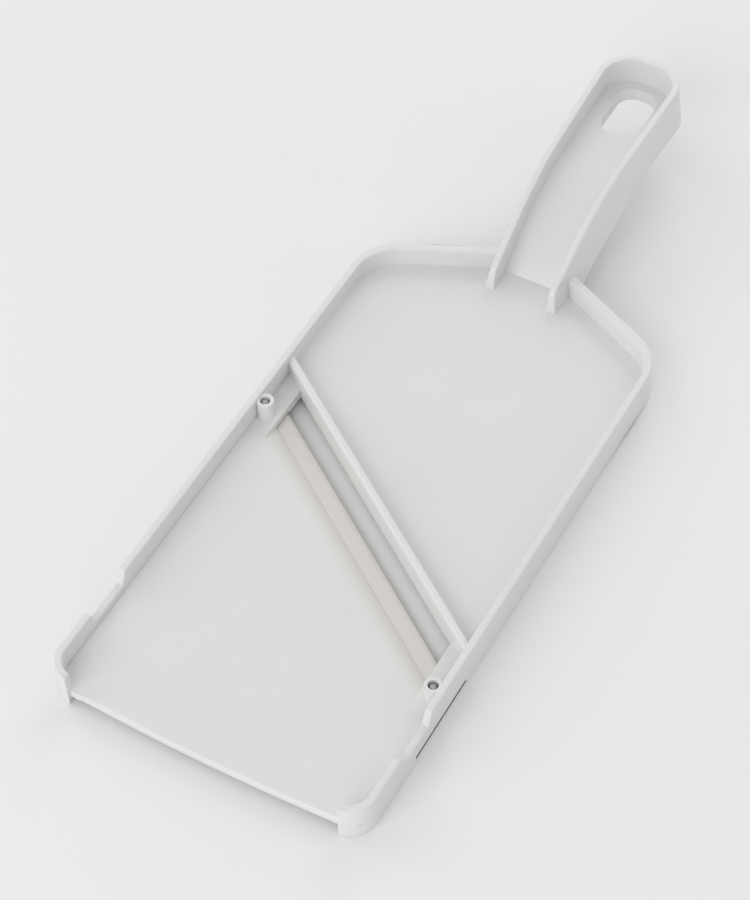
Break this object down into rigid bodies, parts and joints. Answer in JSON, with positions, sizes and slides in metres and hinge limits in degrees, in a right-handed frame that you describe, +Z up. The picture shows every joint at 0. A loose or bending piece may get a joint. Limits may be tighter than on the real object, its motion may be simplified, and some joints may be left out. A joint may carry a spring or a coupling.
{
  "type": "mandoline slicer",
  "caption": "Flat hand-held slicer with a diagonal blade, side walls with bowl notches, and a raised channel handle with a hanging hole.",
  "frame": {"origin": "middle of the footprint, on the surface that the food-side rails rest on", "axes": "+X across the width, +Y from the open end to the handle, +Z up out of the hollow underside"},
  "size_m": [0.095, 0.2632, 0.0298],
  "materials": {
    "frame_plastic": "satin moulded plastic, pale grey green",
    "blade_steel": "fine ground stainless steel",
    "screw_steel": "plain stainless steel"
  },
  "bodies": {
    "root": {"body_frame": "frame_plastic", "slicing_blade": "blade_steel", "left_blade_screw": "screw_steel", "right_blade_screw": "screw_steel"}
  },
  "joints": []
}
